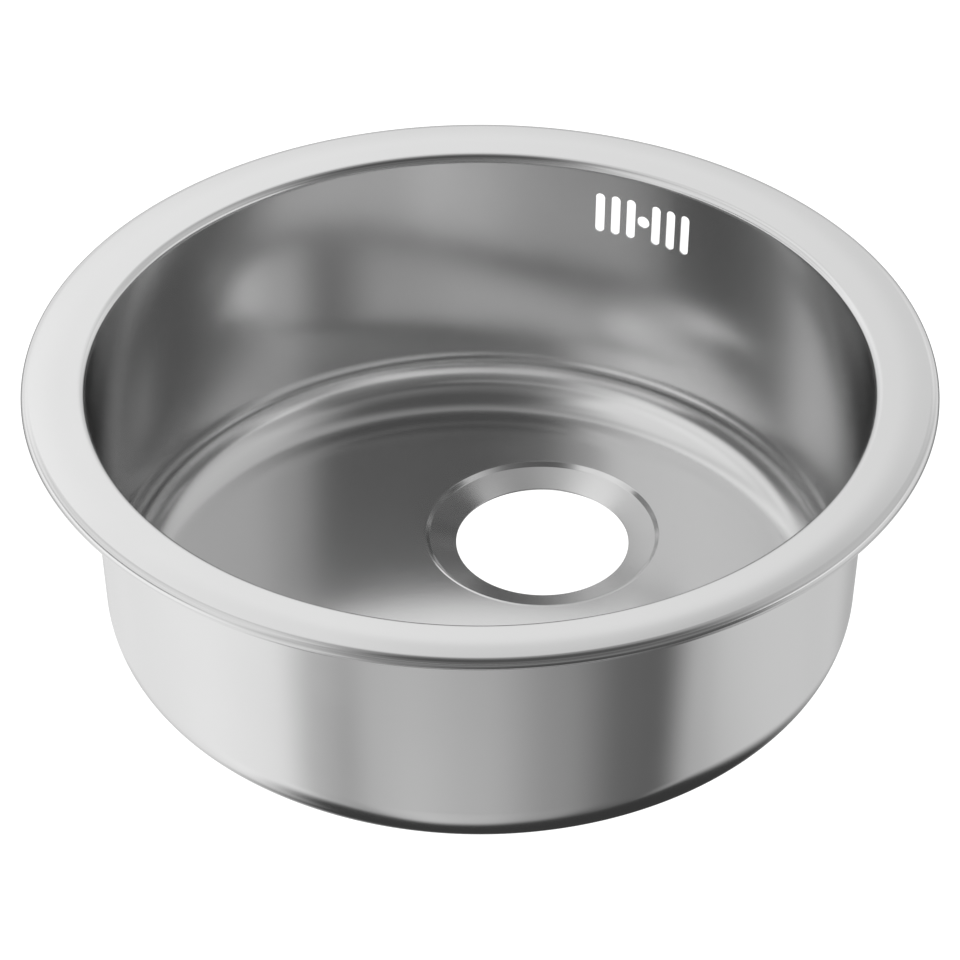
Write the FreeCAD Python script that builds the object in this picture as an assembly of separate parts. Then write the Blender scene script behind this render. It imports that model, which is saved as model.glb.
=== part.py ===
import FreeCAD, Part

import math
import os

# Round inset sink in pressed stainless steel, drawn in millimetres.
# The origin is the centre of the rim at worktop level, +Z is up and +Y points to the overflow.
os.makedirs("parts", exist_ok=True)

# Sheet and rim
sheet_thickness = 0.8
rim_diameter = 450.0
rim_width = 31.3
rim_height = 4.8
rim_slope = 4.0
shoulder_slope = 21.5
shoulder_radius = 10.7
shoulder_straight_length = 0.2
edge_radius = 2.6

# Bowl
mouth_bend_radius = 4.4
bowl_depth = 151.4
floor_inset = 6.7
floor_bend_radius = 30.0

# Waste hole and the recess around it
waste_diameter = 90.0
waste_wall_gap = 113.8
recess_width = 15.0
recess_step_width = 3.2
recess_step_drop = 2.4
recess_edge_radius = 2.4
recess_depth = 6.1
recess_margin = 3.0

# Overflow: slots on both sides of a screw hole
overflow_drop = 24.1
slot_width = 5.2
slot_height = 23.4
slot_pitch = 8.6
slot_first_offset = 7.2
slots_each_side = 3
overflow_hole_diameter = 7.0

# Foam seal under the part of the rim that overlaps the worktop
rim_overlap = 10.0
seal_inset = 1.5
seal_width = 6.0

# Clamp brackets welded to the wall
clamp_count = 6
bracket_thickness = 1.5
bracket_drop = 1.5
bracket_height = 14.5
bracket_width = 18.0
bracket_bend_radius = 1.5
bracket_corner_radius = 3.0
bracket_nose_length = 7.5
collar_height = 1.6
collar_wall = 1.2
weld_diameter = 5.0
weld_dent = 0.25
weld_spacing = 10.0
weld_level_share = 0.67

# Clamp screws, disc spring washers and cams
screw_diameter = 4.9
thread_clearance = 0.05
screw_end = 1.0
screw_wall_gap = 9.7
head_diameter = 9.2
head_height = 2.5
head_chamfer = 0.4
key_width = 4.0
key_depth = 1.6
washer_diameter = 10.0
washer_thickness = 0.4
washer_dish = 0.4
washer_clearance = 0.1
cam_thickness = 5.0
cam_gap = 0.1
cam_bore_clearance = 0.15
cam_hub_radius = 6.2
cam_bite = 4.0
cam_turn = 110.0
cam_teeth = 10
tooth_depth = 1.1
cam_nose_radius = 1.0

# Sound-deadening pad under the floor
pad_length = 160.0
pad_width = 55.0
pad_thickness = 2.5
pad_corner_radius = 18.0
pad_edge_gap = 33.3

# Earthing tag with its screw set
earth_angle = 150.0
tag_thickness = 1.2
tag_drop = 22.0
tag_height = 12.0
tag_width = 13.0
tag_reach = 17.0
tag_bend_radius = 1.2
tag_corner_radius = 3.0
tag_hole_diameter = 4.3
tag_hole_edge = 6.5
earth_screw_diameter = 3.9
earth_head_diameter = 8.0
earth_head_height = 2.6
earth_slot_width = 1.0
earth_slot_depth = 1.1
earth_washer_diameter = 8.6
earth_washer_thickness = 0.8
earth_washer_teeth = 12
earth_tooth_depth = 0.7
nut_width = 7.0
nut_height = 3.2
earth_screw_end = 2.0

# One overrun serves every cut
overrun = 2.0

UP = FreeCAD.Vector(0, 0, 1)
ORIGIN = FreeCAD.Vector(0, 0, 0)

rim_edge = rim_diameter / 2
cutout_radius = rim_edge - rim_overlap
mouth = rim_edge - rim_width
floor_level = rim_height - bowl_depth
floor_corner = mouth - floor_inset
waste_offset = floor_corner - waste_wall_gap
waste_radius = waste_diameter / 2
recess_radius = waste_radius + recess_width


def line_offset(a, b, distance):
    """The line from a to b moved to its right-hand side."""
    along = (b - a).normalize()
    side = FreeCAD.Vector(along.z, 0, -along.x) * distance
    return a + side, b + side


def crossing(a, b, c, d):
    """Where the line through a and b meets the line through c and d, in the XZ plane."""
    ab = b - a
    cd = d - c
    share = ((c.x - a.x) * cd.z - (c.z - a.z) * cd.x) / (ab.x * cd.z - ab.z * cd.x)
    return a + ab * share


def offset_path(points, radii, distance):
    """A bent sheet's other side: the corners moved to the right, and the bends that fit them."""
    sides = [line_offset(a, b, distance) for a, b in zip(points, points[1:])]
    moved = [sides[0][0]]
    bends = []
    for before, after in zip(sides, sides[1:]):
        moved.append(crossing(before[0], before[1], after[0], after[1]))
    moved.append(sides[-1][1])
    for a, b, c, radius in zip(points, points[1:], points[2:], radii):
        turn = (b.x - a.x) * (c.z - b.z) - (b.z - a.z) * (c.x - b.x)
        bends.append(radius + distance if turn > 0 else radius - distance)
    return moved, bends


def path_edges(points, radii):
    """Straight edges through the points, with a tangent arc at each inner one."""
    edges = []
    start = points[0]
    for a, b, c, radius in zip(points, points[1:], points[2:], radii):
        back = (a - b).normalize()
        ahead = (c - b).normalize()
        half = back.getAngle(ahead) / 2
        first = b + back * (radius / math.tan(half))
        last = b + ahead * (radius / math.tan(half))
        inward = (back + ahead).normalize()
        middle = b + inward * (radius / math.sin(half) - radius)
        edges.append(Part.LineSegment(start, first).toShape())
        edges.append(Part.Arc(first, middle, last).toShape())
        start = last
    edges.append(Part.LineSegment(start, points[-1]).toShape())
    return edges


def sheet_section(points, radii, thickness):
    """The section of a bent sheet whose left-hand side is the path through the points."""
    other, bends = offset_path(points, radii, thickness)
    edges = path_edges(points, radii)
    edges.append(Part.LineSegment(points[-1], other[-1]).toShape())
    edges += path_edges(other, bends)
    edges.append(Part.LineSegment(other[0], points[0]).toShape())
    return Part.Face(Part.Wire(Part.__sortEdges__(edges)))


def spot(radius, level):
    return FreeCAD.Vector(radius, 0, level)


def cylinder(radius, height, base, direction=UP):
    return Part.makeCylinder(radius, height, base, direction)


def turned(shape, degrees):
    """A copy of the shape turned about the bowl's axis."""
    copy = shape.copy()
    copy.rotate(ORIGIN, UP, degrees)
    return copy


def wall_radius(level):
    """Radius of the wall's inner face at a level."""
    share = (rim_height - level) / bowl_depth
    return mouth_at_rim + (floor_corner - mouth_at_rim) * share


def outer_wall_radius(level):
    """Radius of the wall's outer face at a level."""
    return wall_radius(level) + sheet_thickness / math.cos(wall_lean)


def rim_points():
    """Corners of the sink's upper side, from the bowl's axis to the lip's lower edge."""
    slope = math.radians(rim_slope)
    shoulder = math.radians(shoulder_slope)
    run = shoulder_straight_length + shoulder_radius * math.tan((slope + shoulder) / 2)
    run += edge_radius * math.tan((math.radians(90) - shoulder) / 2)
    # The crest of the shoulder arc stands at the rim's full height.
    crest_rise = shoulder_radius * (1 / math.cos((slope + shoulder) / 2))
    lean = (shoulder - slope) / 2
    peak = rim_height - shoulder_radius + crest_rise * math.cos(lean)
    ridge_radius = rim_edge - run * math.cos(shoulder)
    ridge = spot(ridge_radius, peak)
    edge = spot(rim_edge, peak - run * math.sin(shoulder))
    mouth_corner = spot(mouth, peak - (ridge_radius - mouth) * math.tan(slope))
    floor = [spot(0, floor_level), spot(floor_corner, floor_level)]
    return floor + [mouth_corner, ridge, edge, spot(rim_edge, 0)]


upper_side = rim_points()
upper_bends = [floor_bend_radius, mouth_bend_radius, shoulder_radius, edge_radius]
mouth_level = upper_side[2].z
wall_lean = math.atan(floor_inset / (mouth_level - floor_level))
mouth_at_rim = mouth + (rim_height - mouth_level) * math.tan(wall_lean)


def waste_centre(level):
    return FreeCAD.Vector(0, waste_offset, level)


def waste_recess():
    """The stepped ring that falls from the floor to the waste hole."""
    step_foot = recess_radius - recess_step_width
    inner = waste_radius - overrun
    fall = (recess_depth - recess_step_drop) / (step_foot - waste_radius)
    inner_level = floor_level - recess_depth - fall * overrun
    points = [
        spot(inner, inner_level),
        spot(step_foot, floor_level - recess_step_drop),
        spot(recess_radius, floor_level),
        spot(recess_radius + recess_margin, floor_level),
    ]
    section = sheet_section(points, [recess_edge_radius, recess_edge_radius], sheet_thickness)
    ring = section.revolve(ORIGIN, UP, 360)
    ring.translate(FreeCAD.Vector(0, waste_offset, 0))
    depth = recess_depth + sheet_thickness + overrun * 2
    return ring.cut(cylinder(waste_radius, depth, waste_centre(floor_level - depth)))


def overflow_cut(offset, width, height):
    """A round-ended vertical slot through the wall, at an arc length from the overflow's middle."""
    reach = sheet_thickness + overrun * 2
    near = wall_radius(-overflow_drop) - overrun
    straight = height - width
    out = FreeCAD.Vector(0, 1, 0)
    ends = []
    for side in (-straight / 2, straight / 2):
        ends.append(cylinder(width / 2, reach, FreeCAD.Vector(0, near, side - overflow_drop), out))
    if straight == 0:
        return ends[0]
    middle = Part.makeBox(width, reach, straight)
    middle.translate(FreeCAD.Vector(-width / 2, near, -straight / 2 - overflow_drop))
    slot = middle.fuse(ends)
    return turned(slot, math.degrees(offset / wall_radius(-overflow_drop)))


def make_bowl():
    shell = sheet_section(upper_side, upper_bends, sheet_thickness).revolve(ORIGIN, UP, 360)
    under = waste_centre(floor_level - sheet_thickness - overrun)
    hole = cylinder(recess_radius + recess_margin, sheet_thickness + overrun * 2, under)
    bowl = shell.cut(hole).fuse(waste_recess())
    cuts = [overflow_cut(0, overflow_hole_diameter, overflow_hole_diameter)]
    for index in range(slots_each_side):
        distance = slot_first_offset + index * slot_pitch
        for side in (-1, 1):
            cuts.append(overflow_cut(side * distance, slot_width, slot_height))
    return bowl.cut(cuts).removeSplitter()


def make_seal():
    """Foam ring between the rim's underside and the worktop."""
    inner = cutout_radius + seal_inset
    blank = cylinder(inner + seal_width, rim_height, ORIGIN)
    blank = blank.cut(cylinder(inner, rim_height, ORIGIN))
    under, bends = offset_path(upper_side[2:], upper_bends[2:], sheet_thickness)
    edges = path_edges(under, bends)
    edges.append(Part.LineSegment(under[-1], spot(under[0].x, 0)).toShape())
    edges.append(Part.LineSegment(spot(under[0].x, 0), under[0]).toShape())
    space = Part.Face(Part.Wire(Part.__sortEdges__(edges))).revolve(ORIGIN, UP, 360)
    return blank.common(space)


def bent_tab(top, height, reach, width, thickness, bend_radius, corner_radius):
    """An angle tab whose upright leg follows the wall and whose flat leg points away from it."""
    foot = top - height
    points = [
        spot(outer_wall_radius(foot), foot),
        spot(outer_wall_radius(top), top),
        spot(reach, top),
    ]
    section = sheet_section(points, [bend_radius + thickness], thickness)
    half = math.degrees(width / 2 / outer_wall_radius(top))
    section.rotate(ORIGIN, UP, -half)
    tab = section.revolve(ORIGIN, UP, half * 2)
    corners = [edge for edge in tab.Edges if is_upright(edge) and edge.CenterOfMass.x > reach - thickness]
    return tab.makeFillet(corner_radius, corners)


def is_upright(edge):
    box = edge.BoundBox
    return box.ZLength > max(box.XLength, box.YLength)


clamp_radius = outer_wall_radius(-bracket_drop) + screw_wall_gap
bracket_reach = clamp_radius + bracket_nose_length
bracket_under = -bracket_drop - bracket_thickness
thread_radius = screw_diameter / 2 + thread_clearance
cam_top = bracket_under - cam_gap
cam_under = cam_top - cam_thickness
cam_reach = cutout_radius + cam_bite - clamp_radius
head_top = cam_under - washer_thickness - washer_dish


def make_bracket():
    tab = bent_tab(
        -bracket_drop,
        bracket_height,
        bracket_reach,
        bracket_width,
        bracket_thickness,
        bracket_bend_radius,
        bracket_corner_radius,
    )
    collar = cylinder(thread_radius + collar_wall, collar_height, spot(clamp_radius, -bracket_drop))
    bore_height = bracket_thickness + collar_height + overrun * 2
    bore = cylinder(thread_radius, bore_height, spot(clamp_radius, bracket_under - overrun))
    weld_level = -bracket_drop - bracket_height * weld_level_share
    face = outer_wall_radius(weld_level) + bracket_thickness - weld_dent
    dents = []
    for side in (-weld_spacing / 2, weld_spacing / 2):
        base = FreeCAD.Vector(face, side, weld_level)
        dents.append(cylinder(weld_diameter / 2, overrun, base, FreeCAD.Vector(1, 0, 0)))
    return tab.fuse(collar).cut([bore] + dents).removeSplitter()


def cam_point(radius, degrees):
    angle = math.radians(degrees)
    return FreeCAD.Vector(clamp_radius + radius * math.cos(angle), radius * math.sin(angle), cam_under)


def make_cam():
    """Eccentric clamp with a toothed edge that grows from the hub to its full reach."""
    growth = cam_reach - cam_hub_radius
    tooth_turn = cam_turn / cam_teeth
    points = [cam_point(cam_hub_radius, 0)]
    for index in range(1, cam_teeth + 1):
        root = cam_hub_radius + growth * (index - 1 / 2) / cam_teeth - tooth_depth
        points.append(cam_point(max(root, cam_hub_radius), -(index - 1 / 2) * tooth_turn))
        points.append(cam_point(cam_hub_radius + growth * index / cam_teeth, -index * tooth_turn))
    back = math.degrees(math.acos(cam_hub_radius / cam_reach))
    tangent = cam_point(cam_hub_radius, -cam_turn - back)
    points.append(tangent)
    edges = [Part.LineSegment(a, b).toShape() for a, b in zip(points, points[1:])]
    far = cam_point(cam_hub_radius, (360 - cam_turn - back) / 2)
    edges.append(Part.Arc(tangent, far, points[0]).toShape())
    plate = Part.Face(Part.Wire(edges)).extrude(UP * cam_thickness)
    tip = points[-2]
    nose = [edge for edge in plate.Edges if is_upright(edge) and near_axis(edge, tip)]
    plate = plate.makeFillet(cam_nose_radius, nose)
    bore = cylinder(screw_diameter / 2 + cam_bore_clearance, cam_thickness, spot(clamp_radius, cam_under))
    return plate.cut(bore)


def near_axis(edge, place):
    centre = edge.CenterOfMass
    return math.hypot(centre.x - place.x, centre.y - place.y) < tooth_depth / 2


def hexagon(width, height, base):
    """A hexagonal bar with its flats the given width apart."""
    corner = width / math.sqrt(3)
    points = []
    for index in range(7):
        angle = math.radians(60 * index)
        points.append(base + FreeCAD.Vector(corner * math.cos(angle), corner * math.sin(angle), 0))
    return Part.Face(Part.makePolygon(points)).extrude(UP * height)


def make_clamp_screw():
    shank_height = screw_end + collar_height - bracket_drop - head_top
    shank = cylinder(screw_diameter / 2, shank_height, spot(clamp_radius, head_top))
    head = cylinder(head_diameter / 2, head_height, spot(clamp_radius, head_top - head_height))
    lower_rim = [edge for edge in head.Edges if edge.BoundBox.ZMax < head_top - head_height / 2]
    head = head.makeChamfer(head_chamfer, lower_rim)
    key = hexagon(key_width, key_depth, spot(clamp_radius, head_top - head_height))
    return head.fuse(shank).cut(key).removeSplitter()


def make_clamp_washer():
    """Dished disc spring that drags the cam round with the screw."""
    bore = screw_diameter / 2 + washer_clearance
    rim = washer_diameter / 2
    corners = [
        spot(bore, head_top),
        spot(rim, head_top + washer_dish),
        spot(rim, head_top + washer_dish + washer_thickness),
        spot(bore, head_top + washer_thickness),
        spot(bore, head_top),
    ]
    ring = Part.Face(Part.makePolygon(corners)).revolve(ORIGIN, UP, 360)
    ring.translate(spot(clamp_radius, 0))
    return ring


def make_pad():
    under = floor_level - sheet_thickness
    flat_radius = floor_corner - floor_bend_radius * math.tan((math.radians(90) - wall_lean) / 2)
    block = Part.makeBox(pad_length, pad_width, pad_thickness)
    block.translate(FreeCAD.Vector(-pad_length / 2, pad_edge_gap - flat_radius, under - pad_thickness))
    return block.makeFillet(pad_corner_radius, [edge for edge in block.Edges if is_upright(edge)])


tag_under = -tag_drop - tag_thickness
tag_end = outer_wall_radius(-tag_drop) + tag_reach
earth_radius = tag_end - tag_hole_edge


def make_earth_tag():
    tab = bent_tab(
        -tag_drop,
        tag_height,
        tag_end,
        tag_width,
        tag_thickness,
        tag_bend_radius,
        tag_corner_radius,
    )
    hole_height = tag_thickness + overrun * 2
    return tab.cut(cylinder(tag_hole_diameter / 2, hole_height, spot(earth_radius, tag_under - overrun)))


def make_earth_screw():
    shank_height = tag_thickness + earth_washer_thickness + nut_height + earth_screw_end
    shank = cylinder(earth_screw_diameter / 2, shank_height, spot(earth_radius, -tag_drop - shank_height))
    head = cylinder(earth_head_diameter / 2, earth_head_height, spot(earth_radius, -tag_drop))
    slot = Part.makeBox(earth_head_diameter, earth_slot_width, earth_slot_depth)
    corner = spot(earth_radius - earth_head_diameter / 2, -tag_drop + earth_head_height - earth_slot_depth)
    slot.translate(corner - FreeCAD.Vector(0, earth_slot_width / 2, 0))
    return head.fuse(shank).cut(slot).removeSplitter()


def make_earth_washer():
    """Serrated washer that cuts through to bare metal."""
    under = tag_under - earth_washer_thickness
    points = []
    for index in range(earth_washer_teeth * 2 + 1):
        angle = math.radians(180 * index / earth_washer_teeth)
        radius = earth_washer_diameter / 2 - earth_tooth_depth * (index % 2)
        across = earth_radius + radius * math.cos(angle)
        points.append(FreeCAD.Vector(across, radius * math.sin(angle), under))
    disc = Part.Face(Part.makePolygon(points)).extrude(UP * earth_washer_thickness)
    bore = cylinder(tag_hole_diameter / 2, earth_washer_thickness, spot(earth_radius, under))
    return disc.cut(bore)


def make_earth_nut():
    base = spot(earth_radius, tag_under - earth_washer_thickness - nut_height)
    bore = cylinder(earth_screw_diameter / 2 + thread_clearance, nut_height, base)
    return hexagon(nut_width, nut_height, base).cut(bore)


parts = {
    "sink_bowl": make_bowl(),
    "rim_seal": make_seal(),
    "sound_pad": make_pad(),
    "earth_tag": turned(make_earth_tag(), earth_angle),
    "earth_screw": turned(make_earth_screw(), earth_angle),
    "earth_washer": turned(make_earth_washer(), earth_angle),
    "earth_nut": turned(make_earth_nut(), earth_angle),
}

clamp_pieces = {
    "clamp_bracket": make_bracket(),
    "clamp_cam": make_cam(),
    "clamp_screw": make_clamp_screw(),
    "clamp_washer": make_clamp_washer(),
}
for number in range(clamp_count):
    for name, shape in clamp_pieces.items():
        parts[f"{name}_{number + 1}"] = turned(shape, 360 * number / clamp_count)

for name, shape in parts.items():
    solids = len(shape.Solids)
    shape.exportStep(f"parts/{name}.step")
    box = shape.BoundBox
    size = f"{box.XLength:.1f} x {box.YLength:.1f} x {box.ZLength:.1f}"
    print(name, "solids", solids, "valid", shape.isValid(), "size", size, "volume", round(shape.Volume, 1))
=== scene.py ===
import math

import bpy
from mathutils import Matrix, Vector


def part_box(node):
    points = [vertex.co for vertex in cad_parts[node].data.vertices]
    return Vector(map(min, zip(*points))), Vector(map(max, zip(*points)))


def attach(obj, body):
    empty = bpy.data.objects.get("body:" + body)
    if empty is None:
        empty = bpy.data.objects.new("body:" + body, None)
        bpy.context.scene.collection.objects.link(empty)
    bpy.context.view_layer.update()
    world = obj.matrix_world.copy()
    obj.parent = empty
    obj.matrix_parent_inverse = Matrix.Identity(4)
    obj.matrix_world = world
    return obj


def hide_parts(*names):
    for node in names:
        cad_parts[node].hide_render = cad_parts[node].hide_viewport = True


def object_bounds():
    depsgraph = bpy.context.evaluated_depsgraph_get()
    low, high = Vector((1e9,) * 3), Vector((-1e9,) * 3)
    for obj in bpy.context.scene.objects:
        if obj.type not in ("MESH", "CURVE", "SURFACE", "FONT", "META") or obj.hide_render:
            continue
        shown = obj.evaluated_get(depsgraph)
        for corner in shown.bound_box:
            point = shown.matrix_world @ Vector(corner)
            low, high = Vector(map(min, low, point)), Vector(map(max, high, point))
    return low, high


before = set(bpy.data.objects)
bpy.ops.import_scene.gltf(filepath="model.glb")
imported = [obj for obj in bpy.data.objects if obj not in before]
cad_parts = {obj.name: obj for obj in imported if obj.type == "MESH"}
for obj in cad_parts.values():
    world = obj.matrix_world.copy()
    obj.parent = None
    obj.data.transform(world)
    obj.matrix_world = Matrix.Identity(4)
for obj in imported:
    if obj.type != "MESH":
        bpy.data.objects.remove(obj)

bl_info = {
    "name": "Round inset sink",
    "version": (1, 0, 0),
    "blender": (4, 5, 0),
    "location": "3D View > Sidebar > Sink",
    "description": "Builds a round stainless steel inset sink with its seal, clamps and earthing tag",
    "category": "Add Mesh",
}

cad_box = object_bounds()
bowl_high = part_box("sink_bowl")[1]
seal_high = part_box("rim_seal")[1]
pad_low, pad_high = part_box("sound_pad")

CLAMPS = 6
MM = 0.001

# Points closer than this are merged, and places closer than the second count as the same
MERGE_WITHIN = 0.002 * MM
SAME_PLACE = 0.01 * MM

# In how many steps round pieces are turned
BOWL_STEPS = 360
SEAL_STEPS = 240
NUT_STEPS = 96
WASHER_STEPS = 64
SMALL_STEPS = 48


# Sizes and colours that a user would change

def length(name, description, default, low=0.0):
    return bpy.props.FloatProperty(
        name=name, description=description, default=default, min=low, unit="LENGTH", precision=5
    )


def mm(name, description, default, low=0.0):
    return length(name, description, default * MM, low * MM)


def slope(name, description, degrees):
    return bpy.props.FloatProperty(
        name=name, description=description, default=math.radians(degrees), subtype="ANGLE"
    )


def colour(name, description, value):
    return bpy.props.FloatVectorProperty(
        name=name, description=description, default=value, size=3, min=0.0, max=1.0, subtype="COLOR"
    )


def share(name, description, default):
    return bpy.props.FloatProperty(
        name=name, description=description, default=default, min=0.0, max=1.0, subtype="FACTOR"
    )


def brightness(name, description, default):
    return bpy.props.FloatProperty(name=name, description=description, default=default, min=0.0)


class BowlSizes(bpy.types.PropertyGroup):
    sheet: mm("Sheet thickness", "Thickness of the pressed steel", 0.8)
    rim_radius: length("Rim radius", "Half the rim's outer diameter", bowl_high[0])
    rim_width: mm("Rim width", "From the bowl's mouth to the rim's edge", 31.3)
    rim_height: length("Rim height", "Height of the rim's crest above the worktop", bowl_high[2])
    rim_slope: slope("Rim slope", "Fall of the rim towards the bowl", 5.5)
    crest_inset: mm("Crest inset", "From the rim's edge to its highest line", 8.4)
    crown_radius: mm("Crown", "Gentle bend that crowns the rim", 110.0)
    crest_fall: slope("Crest fall", "Fall of the crowned rim where its shoulder begins", 1.0)
    shoulder_slope: slope("Shoulder slope", "Fall of the rim's shoulder away from the bowl", 21.5)
    shoulder_radius: mm("Shoulder bend", "Bend between the rim and its shoulder", 6.0)
    edge_height: mm("Edge height", "Height above the worktop where the shoulder meets the lip's side", 3.333)
    edge_radius: mm("Edge bend", "Bend from the shoulder down to the lip", 3.6)
    mouth_bend: mm("Mouth bend", "Bend from the rim into the wall", 4.4)
    depth: mm("Depth", "From the rim's crest to the floor", 151.4)
    floor_inset: mm("Floor inset", "How much narrower the floor is than the mouth, each side", 6.7)
    floor_bend: mm("Floor bend", "Bend from the wall into the floor", 30.0)
    waste_radius: mm("Waste hole radius", "Half the waste hole's diameter", 45.0)
    waste_offset: mm("Waste offset", "From the bowl's middle to the waste hole's", 73.2)
    recess_width: mm("Recess width", "Width of the stepped ring round the waste hole", 16.0)
    step_width: mm("Step width", "Width of the recess's step", 2.2)
    step_drop: mm("Step drop", "Fall of the recess's step", 1.7)
    bead_width: mm("Bead width", "Width of the outer side of the small bead round the recess", 1.0)
    bead_height: mm("Bead height", "Rise of the small bead round the recess", 0.2)
    step_bend: mm("Step bend", "Bend at the top of the recess's step", 0.5)
    step_foot_bend: mm("Step foot bend", "Bend at the foot of the recess's step", 0.8)
    recess_depth: mm("Recess depth", "From the floor down to the waste hole's edge", 6.1)
    slot_width: mm("Slot width", "Width of an overflow slot", 5.2)
    slot_height: mm("Slot height", "Height of an overflow slot", 23.4)
    slot_first: mm("First slot", "From the overflow's middle to the first slot", 7.2)
    slot_pitch: mm("Slot pitch", "From slot to slot", 8.6)
    slots_each_side: bpy.props.IntProperty(
        name="Slots each side", description="Overflow slots on each side of the hole", default=3, min=0, max=5
    )
    overflow_drop: mm("Overflow drop", "From worktop level down to the overflow's middle", 24.1)
    cut_edge: mm("Cut edges", "Rounding of the lip's and the waste hole's cut edges", 0.16)
    hole_radius: mm("Overflow hole radius", "Half the diameter of the overflow's screw hole", 3.5)


class HardwareSizes(bpy.types.PropertyGroup):
    tab_edge: mm("Tab edges", "Rounding of the pressed tabs' edges", 0.22)
    cam_edge: mm("Cam edges", "Rounding of the cast cams' edges", 0.35)
    star_edge: mm("Washer teeth edges", "Rounding of the toothed washer's edges", 0.06)
    shank_radius: mm("Clamp screw", "Half the clamp screw's outer thread diameter", 2.45)
    pitch: mm("Clamp screw pitch", "From thread to thread of the clamp screw", 0.8, 0.1)
    head_height: mm("Clamp screw head", "Height of the clamp screw's head", 2.5)
    head_bend: mm("Head rounding", "Rounding of the screw heads", 0.55)
    key_width: mm("Key width", "Width across flats of the hexagonal socket", 4.0)
    key_depth: mm("Key depth", "Depth of the hexagonal socket", 1.6)
    washer_thickness: mm("Spring washer", "Thickness of the dished spring washer", 0.4)
    washer_bore: mm("Spring washer bore", "Half the bore of the spring washer", 2.55)
    earth_shank_radius: mm("Earthing screw", "Half the earthing screw's outer thread diameter", 1.95)
    earth_pitch: mm("Earthing screw pitch", "From thread to thread of this screw", 0.7, 0.1)
    earth_head_height: mm("Earthing screw head", "Height of the earthing screw's head", 2.6)
    slot_width: mm("Driver slot", "Width of the slot in the earthing screw's head", 1.0)
    slot_depth: mm("Driver slot depth", "Depth of the slot in the earthing screw's head", 1.1)
    nut_width: mm("Nut", "Width across the flats of the earthing nut", 7.0)


class Finishes(bpy.types.PropertyGroup):
    steel: colour("Bowl steel", "Colour of the bowl's stainless steel", (0.75, 0.75, 0.75))
    steel_roughness: share("Bowl roughness", "Roughness of the satin finish", 0.17)
    steel_grain: share("Bowl grain", "Depth of the fine grain", 0.08)
    tab: colour("Tab steel", "Colour of the welded tabs", (0.58, 0.57, 0.56))
    plate: colour("Zinc plate", "Colour of the plated screws", (0.68, 0.70, 0.72))
    zinc: colour("Cast zinc", "Colour of the cams", (0.47, 0.48, 0.50))
    foam: colour("Foam", "Colour of the seal under the rim", (0.045, 0.045, 0.048))
    pad: colour("Damping pad", "Colour of the pad under the floor", (0.05, 0.05, 0.052))


class StageSettings(bpy.types.PropertyGroup):
    floor_size: length("Floor size", "Width of the pale floor", 9.0)
    white: brightness("Backdrop", "Brightness of the white backdrop", 1.15)
    light: brightness("Light", "Brightness of the soft light", 0.88)
    tent_radius: length("Tent radius", "Radius of the light tent, which the camera sees through", 1.0)
    camera_place: bpy.props.FloatVectorProperty(
        name="Camera place", description="Where the camera stands",
        default=(0.8039, -1.6195, 1.3151), size=3, subtype="TRANSLATION",
    )
    camera_aim: bpy.props.FloatVectorProperty(
        name="Camera aim", description="The direction in which the camera looks",
        default=(-0.3537, 0.7125, -0.6061), size=3, subtype="XYZ",
    )
    lens: bpy.props.FloatProperty(
        name="Lens", description="Focal length", default=170.6, min=1.0, unit="CAMERA"
    )


# Modelling helpers

def object_mode():
    bpy.ops.object.mode_set(mode="OBJECT")


def start_clean():
    if bpy.context.object and bpy.context.object.mode != "OBJECT":
        object_mode()
    bpy.ops.object.select_all(action="DESELECT")


def only(*pieces):
    start_clean()
    for piece in pieces:
        piece.select_set(True)
    bpy.context.view_layer.objects.active = pieces[0]


def edit(piece, kind="VERT"):
    only(piece)
    bpy.ops.object.mode_set(mode="EDIT")
    bpy.ops.mesh.select_mode(type=kind)
    bpy.ops.mesh.select_all(action="DESELECT")


def pick_all():
    bpy.ops.mesh.select_all(action="SELECT")


def pick(piece, wanted, kind="vertices"):
    """Selects the parts of the mesh being edited whose place passes the test."""
    bpy.ops.mesh.select_all(action="DESELECT")
    object_mode()
    place = piece.matrix_world
    for part in getattr(piece.data, kind):
        part.select = wanted(place @ (part.co if kind == "vertices" else part.center))
    bpy.ops.object.mode_set(mode="EDIT")


def settle(piece, name):
    """Leaves edit mode and puts the piece's place into its mesh."""
    only(piece)
    bpy.ops.object.transform_apply(location=True, rotation=True, scale=True)
    piece.name = name
    piece.data.name = name
    return piece


def finish_with(piece, kind, **values):
    only(piece)
    bpy.ops.object.modifier_add(type=kind)
    modifier = piece.modifiers[-1]
    for key, value in values.items():
        setattr(modifier, key, value)
    bpy.ops.object.modifier_apply(modifier=modifier.name)


def cut_away(piece, cutter, operation="DIFFERENCE"):
    finish_with(piece, "BOOLEAN", operation=operation, solver="EXACT", object=cutter)
    only(cutter)
    bpy.ops.object.delete()


def soften(piece, width, degrees):
    """Rounds the edges that bend by more than so many degrees."""
    angle = math.radians(degrees)
    finish_with(piece, "BEVEL", width=width, segments=3, limit_method="ANGLE", angle_limit=angle)


def smooth(piece, degrees=35.0):
    """Shades the piece smooth, apart from edges that bend by more than so many degrees."""
    only(piece)
    bpy.ops.object.shade_smooth_by_angle(angle=math.radians(degrees))


def merge_close():
    """Merges the points of the mesh being edited that lie on top of one another."""
    pick_all()
    bpy.ops.mesh.remove_doubles(threshold=MERGE_WITHIN)


def face_outwards(piece):
    """Recalculates the normals of a closed piece."""
    edit(piece)
    pick_all()
    bpy.ops.mesh.normals_make_consistent(inside=False)


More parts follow.
